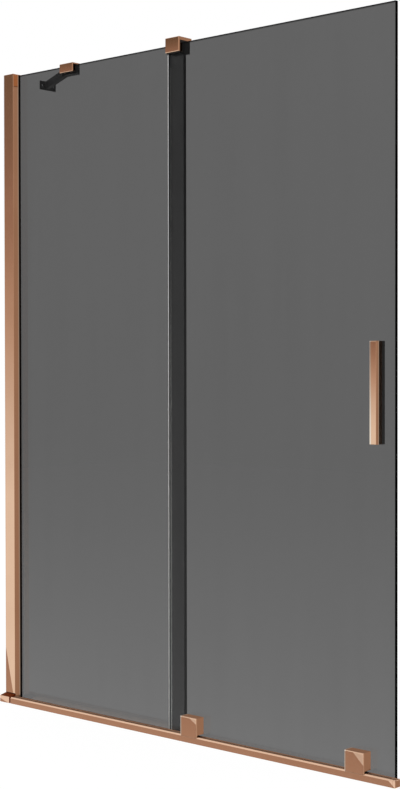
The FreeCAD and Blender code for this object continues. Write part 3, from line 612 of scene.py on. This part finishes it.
def makePane(name, node, body):
    low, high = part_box(node)
    arris = paneEdge["arris"] / 1000
    depths = (low.y, low.y + arris, high.y - arris, high.y)
    rings = []
    for depth, inset in zip(depths, (arris, 0.0, 0.0, arris)):
        across = (low.x + inset, high.x - inset)
        upward = (low.z + inset, high.z - inset)
        rings.append([(across[0], depth, upward[0]), (across[1], depth, upward[0]),
                      (across[1], depth, upward[1]), (across[0], depth, upward[1])])
    points = np.array(rings)
    count = points.shape[1]
    ends = [np.arange(count)[::-1], np.arange(count) + (len(rings) - 1) * count]
    putPiece(name, points, ringQuads(len(rings), count), ends, finish["groundEdge"], body,
             node, glassMaterial)


# Edge strip: a rounded nose on the pane's edge, and a thin fin from it towards the fixed pane. The fin is
# bowed by half a sine wave, thins evenly from its sunk root to its tip, and ends finDrop below the nose's
# top.
edgeStrip = {"corner": 0.9, "finRoot": 1.1, "finTip": 0.45, "finBow": 0.28, "finDrop": 48.0, "finSunk": 0.2,
             "finPoints": 9}


def makeEdgeStrip():
    low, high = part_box("door_edge_seal")
    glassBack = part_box("sliding_glass")[1].y
    radius = edgeStrip["corner"] / 1000
    nose = np.concatenate([
        arc(low.x + radius, low.y + radius, radius, 270, 180),
        arc(low.x + radius, glassBack - radius, radius, 180, 90),
        [[high.x, glassBack], [high.x, low.y]]])
    along = np.linspace(0, 1, edgeStrip["finPoints"])
    sunk = edgeStrip["finSunk"] / 1000
    finY = glassBack - sunk + (high.y - glassBack + sunk) * along
    bow = edgeStrip["finBow"] / 1000 * np.sin(math.pi * along)
    thick = (edgeStrip["finRoot"] + (edgeStrip["finTip"] - edgeStrip["finRoot"]) * along) / 1000
    left = np.stack([low.x + bow, finY], axis=1)
    right = np.stack([low.x + bow + thick, finY], axis=1)
    fin = np.concatenate([left, right[::-1]])
    finTop = high.z - edgeStrip["finDrop"] / 1000
    points, quads, ends = carryOutlines([(nose, low.z, high.z), (fin, low.z, finTop)], (0, 1, 2))
    putPiece("doorEdgeStrip", points, quads, ends, clearMaterial, "sliding_door",
             "door_edge_seal")


# Glazing strips: a wedge with a grooved round nose at the mouth. On the glass side every second point is
# drawn in by the ribs' depth, which makes a saw of ribs.
glazingStrip = {"nose": 1.0, "groove": 0.7, "ribs": 6, "ribDepth": 0.35}


def makeGlazingStrip(name, node, glassY, backY):
    low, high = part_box(node)
    way = 1.0 if glassY > backY else -1.0
    radius = glazingStrip["nose"] / 1000
    middle = (glassY + backY) / 2
    groove = glazingStrip["groove"] / 1000
    noseBack = arc(high.x - radius, 0.0, radius, 90, 0)
    noseBack[:, 1] = backY + way * (radius - noseBack[:, 1])
    noseFront = arc(high.x - radius, 0.0, radius, 0, 90)
    noseFront[:, 1] = glassY - way * (radius - noseFront[:, 1])
    notch = np.array([[high.x, middle - way * groove], [high.x - groove, middle],
                      [high.x, middle + way * groove]])
    saw = np.linspace(high.x - 2 * radius, low.x, 2 * glazingStrip["ribs"] + 1)
    depth = glazingStrip["ribDepth"] / 1000 * (np.arange(len(saw)) % 2)
    ribs = np.stack([saw, glassY - way * depth], axis=1)
    outline = np.concatenate([[[low.x, backY]], noseBack, notch, noseFront, ribs])
    points, quads, ends = carryOutlines([(outline, low.z, high.z)], (0, 1, 2))
    putPiece(name, points, quads, ends, finish["blackRubber"], "fixed_frame", node)


# Drip seal: a clip under the pane with two wipers that taper and lean apart, as one outline carried along
# the door.
dripSeal = {"clip": 3.0, "root": 1.4, "tip": 0.5, "gap": 0.4, "web": 0.4}


def makeDripSeal():
    low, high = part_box("door_bottom_seal")
    clipBottom = high.z - dripSeal["clip"] / 1000
    root, tip = dripSeal["root"] / 1000, dripSeal["tip"] / 1000
    middle = (low.y + high.y) / 2
    half, fork = dripSeal["gap"] / 2000, clipBottom - dripSeal["web"] / 1000
    outline = np.array([
        [low.y, high.z], [high.y, high.z], [high.y, clipBottom], [middle + half + root, clipBottom],
        [high.y, low.z], [high.y - tip, low.z], [middle + half, fork],
        [middle - half, fork], [low.y + tip, low.z], [low.y, low.z],
        [middle - half - root, clipBottom], [low.y, clipBottom]])
    points, quads, ends = carryOutlines([(outline, low.x, high.x)], (1, 2, 0))
    putPiece("doorDripSeal", points, quads, ends, finish["blackRubber"], "sliding_door",
             "door_bottom_seal")


# Rollers: a tyre whose tread falls off by the crown times the square of the share of the way to its side,
# with dished cheeks, and a bearing with two rings and a sunk shield between them. Both are turned outlines.
rollerShape = {"bore": 6.02, "crown": 0.35, "edge": 0.5, "dish": 0.5, "dishInner": 6.8, "dishOuter": 8.0,
               "dishSlope": 0.3, "treadPoints": 9}
bearingShape = {"bore": 2.55, "innerRing": 3.5, "outerRing": 5.0, "sink": 0.35, "edge": 0.2}


def makeRoller(name):
    low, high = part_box(name + "_tyre")
    centre = (low + high) / 2
    radius, half = (high.x - low.x) / 2, (high.y - low.y) / 2
    edge, dish, slope = (rollerShape[key] / 1000 for key in ("edge", "dish", "dishSlope"))
    bore, inner, outer = (rollerShape[key] / 1000 for key in ("bore", "dishInner", "dishOuter"))
    across = np.linspace(-half + edge, half - edge, rollerShape["treadPoints"])
    tread = np.stack([radius - rollerShape["crown"] / 1000 * (across / half) ** 2, across], axis=1)
    cheek = np.array([[outer + slope, half], [outer, half - dish], [inner, half - dish],
                      [inner - slope, half], [bore, half]])
    outline = np.concatenate([tread, cheek, cheek[::-1] * (1, -1)])
    outline[:, 1] += centre.y
    points, quads = turnOutline(outline, centre)
    putPiece(name + "Tyre", points, quads, [], finish["rollerNylon"], name, name + "_tyre")
    low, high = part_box(name + "_bearing")
    radius, half = (high.x - low.x) / 2, (high.y - low.y) / 2
    edge, sink = bearingShape["edge"] / 1000, bearingShape["sink"] / 1000
    bore, inner, outer = (bearingShape[key] / 1000 for key in ("bore", "innerRing", "outerRing"))
    shield = np.array([
        [radius, half - edge], [radius - edge, half], [outer + edge, half], [outer, half - sink],
        [inner, half - sink], [inner - edge, half], [bore + edge, half], [bore, half - edge]])
    outline = np.concatenate([shield, shield[::-1] * (1, -1)])
    outline[:, 1] += centre.y
    points, quads = turnOutline(outline, centre)
    putPiece(name + "Bearing", points, quads, [], finish["turnedSteel"], name, name + "_bearing")


makePane("fixedPane", "fixed_glass", "fixed_frame")
makePane("doorPane", "sliding_glass", "sliding_door")
makeEdgeStrip()
paneLow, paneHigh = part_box("fixed_glass")
makeGlazingStrip("frontGlazingStrip", "front_glass_gasket", paneLow.y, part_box("front_glass_gasket")[0].y)
makeGlazingStrip("backGlazingStrip", "back_glass_gasket", paneHigh.y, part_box("back_glass_gasket")[1].y)
makeDripSeal()
for side in ("left", "right"):
    for place in ("rear", "lead"):
        makeRoller(side + "_" + place + "_roller")
print("seals, glazing strips and rollers made")


# Studio: white to the eye and through glass. Polished metal meets a room that darkens upwards in front, with
# a white wall at the left and behind, a pale corner and a warm wall at the right, and a wide soft light
# overhead that is darker straight up. A sharp mirror such as a pane meets a plain grey room. Each span says
# along which part of a direction one part of the room gives way to the next.
studio = {"ambient": 0.8, "overhead": (1.05, 1.03, 1.05, 1), "straightUp": (0.31, 0.235, 0.20, 1),
          "right": (0.41, 0.297, 0.24, 1), "corner": (0.66, 0.53, 0.46, 1), "left": (1, 1, 1, 1),
          "mirrorLow": 0.40, "mirrorHigh": 0.12, "mirrorBehind": 0.03}
studioSpans = {"left": ("X", -0.86, -0.92), "corner": ("X", 0.3, 0.4), "right": ("X", 0.5, 0.6),
               "rightDepth": ("Y", -0.6, -0.5), "rightBehind": ("X", -0.1, 0.1), "behind": ("Y", -0.1, 0.1),
               "heights": ("Z", -0.2, 0.3), "overhead": ("Z", 0.30, 0.40), "straightUp": ("Z", 0.76, 0.84),
               "mirrorHeights": ("Z", -0.05, 0.16), "mirrorBehind": ("Y", 0.0, 0.1)}
studioHeights = ((-0.09, (1.03, 1.03, 1.03, 1)), (-0.05, (0.92, 0.90, 0.89, 1)),
                 (0.03, (0.64, 0.50, 0.43, 1)), (0.105, (0.38, 0.25, 0.205, 1)),
                 (0.18, (0.205, 0.145, 0.108, 1)), (0.24, (0.15, 0.108, 0.078, 1)))


def roomShare(tree, way, name):
    axis, low, high = studioSpans[name]
    return share(tree, way[axis], (low, high))


def makeMetalRoom(tree, way):
    low, high = studioSpans["heights"][1:]
    ramp = tree.nodes.new("ShaderNodeValToRGB")
    stops = ramp.color_ramp.elements
    while len(stops) < len(studioHeights):
        stops.new(0.5)
    for stop, (height, tone) in zip(stops, studioHeights):
        stop.position = (height - low) / (high - low)
        stop.color = tone
    feed(tree, roomShare(tree, way, "heights"), ramp.inputs[0])
    behind = roomShare(tree, way, "behind")
    leftWall = sums(tree, "MAXIMUM", behind, roomShare(tree, way, "left"))
    sideWall = sums(tree, "MULTIPLY", roomShare(tree, way, "right"), roomShare(tree, way, "rightDepth"))
    backWall = sums(tree, "MULTIPLY", behind, roomShare(tree, way, "rightBehind"))
    room = mixColours(tree, leftWall, ramp.outputs[0], studio["left"])
    room = mixColours(tree, roomShare(tree, way, "corner"), room, studio["corner"])
    room = mixColours(tree, sums(tree, "MAXIMUM", sideWall, backWall), room, studio["right"])
    ceiling = mixColours(tree, roomShare(tree, way, "straightUp"), studio["overhead"], studio["straightUp"])
    overhead = sums(tree, "MULTIPLY", roomShare(tree, way, "overhead"), sums(tree, "SUBTRACT", 1.0, sideWall))
    return mixColours(tree, overhead, room, ceiling)


def makeMirrorRoom(tree, way):
    axis, low, high = studioSpans["mirrorHeights"]
    front = stretch(tree, way[axis], low, high, studio["mirrorLow"], studio["mirrorHigh"])
    behind = roomShare(tree, way, "mirrorBehind")
    level = sums(tree, "ADD", sums(tree, "MULTIPLY", front, sums(tree, "SUBTRACT", 1.0, behind)),
                 sums(tree, "MULTIPLY", behind, studio["mirrorBehind"]))
    return greyOf(tree, level)


def makeStudio():
    world = bpy.data.worlds.new("studio")
    bpy.context.scene.world = world
    world.use_nodes = True
    world.cycles.sampling_method = "NONE"
    tree = world.node_tree
    tree.nodes.clear()
    direction = tree.nodes.new("ShaderNodeTexCoord").outputs["Generated"]
    way = addNode(tree, "ShaderNodeSeparateXYZ", Vector=direction).outputs
    ray = tree.nodes.new("ShaderNodeLightPath").outputs
    mirrored = mixColours(tree, ray["Is Singular Ray"], makeMetalRoom(tree, way), makeMirrorRoom(tree, way))
    plain = sums(tree, "MINIMUM", sums(tree, "ADD", ray["Is Camera Ray"], ray["Is Transmission Ray"]), 1.0)
    seen = sums(tree, "MINIMUM", sums(tree, "ADD", plain, ray["Is Glossy Ray"]), 1.0)
    tone = mixColours(tree, plain, mirrored, (1, 1, 1, 1))
    tone = mixColours(tree, seen, (1, 1, 1, 1), tone)
    background = addNode(tree, "ShaderNodeBackground", Color=tone,
                         Strength=stretch(tree, seen, 0.0, 1.0, studio["ambient"], 1.0))
    tree.links.new(background.outputs[0], tree.nodes.new("ShaderNodeOutputWorld").inputs["Surface"])


# Floor: white to the eye, with a little true shading so that the shadow stays. Mirrors look past it into the
# studio.
floorLook = {"half": 7.0, "drop": 0.0005, "glow": 0.95, "shade": 0.07, "bounce": 0.75,
             "grain": {"scale": 90.0, "detail": 3.0}, "grainSpan": (0.3, 0.7), "grainDeep": 0.97}


def makeFloor():
    half, height = floorLook["half"], -floorLook["drop"]
    corners = [(-half, -half, height), (half, -half, height), (half, half, height), (-half, half, height)]
    mesh = bpy.data.meshes.new("floor")
    mesh.from_pydata(corners, [], [[0, 1, 2, 3]])
    material = bpy.data.materials.new("paleFloor")
    material.use_nodes = True
    material.cycles.emission_sampling = "NONE"
    tree = material.node_tree
    tree.nodes.clear()
    place = tree.nodes.new("ShaderNodeTexCoord").outputs["Object"]
    ray = tree.nodes.new("ShaderNodeLightPath").outputs
    seen = sums(tree, "MINIMUM", sums(tree, "ADD", ray["Is Camera Ray"], ray["Is Transmission Ray"]), 1.0)
    glow = addNode(tree, "ShaderNodeEmission", Color=(1, 1, 1, 1),
                   Strength=sums(tree, "MULTIPLY", seen, floorLook["glow"]))
    grain = stretch(tree, noise(tree, place, **floorLook["grain"]), *floorLook["grainSpan"],
                    floorLook["grainDeep"], 1.0)
    level = stretch(tree, seen, 0.0, 1.0, floorLook["bounce"], floorLook["shade"])
    tone = greyOf(tree, sums(tree, "MULTIPLY", grain, level))
    paint = addNode(tree, "ShaderNodeBsdfDiffuse", Color=tone)
    both = tree.nodes.new("ShaderNodeAddShader")
    tree.links.new(glow.outputs[0], both.inputs[0])
    tree.links.new(paint.outputs[0], both.inputs[1])
    tree.links.new(both.outputs[0], tree.nodes.new("ShaderNodeOutputMaterial").inputs["Surface"])
    mesh.materials.append(material)
    floor = bpy.data.objects.new("floor", mesh)
    floor.visible_glossy = False
    bpy.context.scene.collection.objects.link(floor)


# One broad lamp in front, high at the right, and a weaker one behind, both turned to the screen's middle.
lampTarget = (0.6, 0.0, 0.7)
lamps = {"key": {"spot": (2.6, -2.6, 3.4), "size": 2.4, "watts": 60.0},
         "fill": {"spot": (-1.4, 2.6, 3.0), "size": 2.4, "watts": 30.0}}


def makeLamps():
    for name, look in lamps.items():
        light = bpy.data.lights.new(name, "AREA")
        light.shape = "SQUARE"
        light.size = look["size"]
        light.energy = look["watts"]
        lamp = bpy.data.objects.new(name, light)
        away = np.array(look["spot"]) - lampTarget
        flat = math.hypot(away[0], away[1])
        lamp.location = look["spot"]
        lamp.rotation_euler = (math.atan2(flat, away[2]), 0.0, math.atan2(away[1], away[0]) + math.pi / 2)
        lamp.visible_glossy = False
        lamp.visible_transmission = False
        lamp.visible_camera = False
        bpy.context.scene.collection.objects.link(lamp)


# Camera fitted to the photograph's straight edges, with angles in degrees. The picture's long side takes the
# sensor's width.
view = {"spot": (2.92853, -2.27414, 0.79166), "down": 0.8694, "turn": 39.5518, "focalPixels": 1507.90,
        "axisPixel": 339.41, "frame": (400, 789), "sensor": 36.0, "reach": 60.0}


def makeCamera():
    eye = bpy.data.cameras.new("eye")
    eye.sensor_width = view["sensor"]
    eye.lens = view["focalPixels"] / view["frame"][1] * view["sensor"]
    eye.shift_x = (view["frame"][0] / 2 - view["axisPixel"]) / view["frame"][1]
    eye.clip_end = view["reach"]
    camera = bpy.data.objects.new("eye", eye)
    camera.location = view["spot"]
    camera.rotation_euler = (math.radians(90 - view["down"]), 0.0, math.radians(view["turn"]))
    bpy.context.scene.collection.objects.link(camera)
    bpy.context.scene.camera = camera


makeStudio()
makeFloor()
makeLamps()
makeCamera()
bpy.context.scene.view_settings.view_transform = "Standard"
print("studio, lamps and camera set")
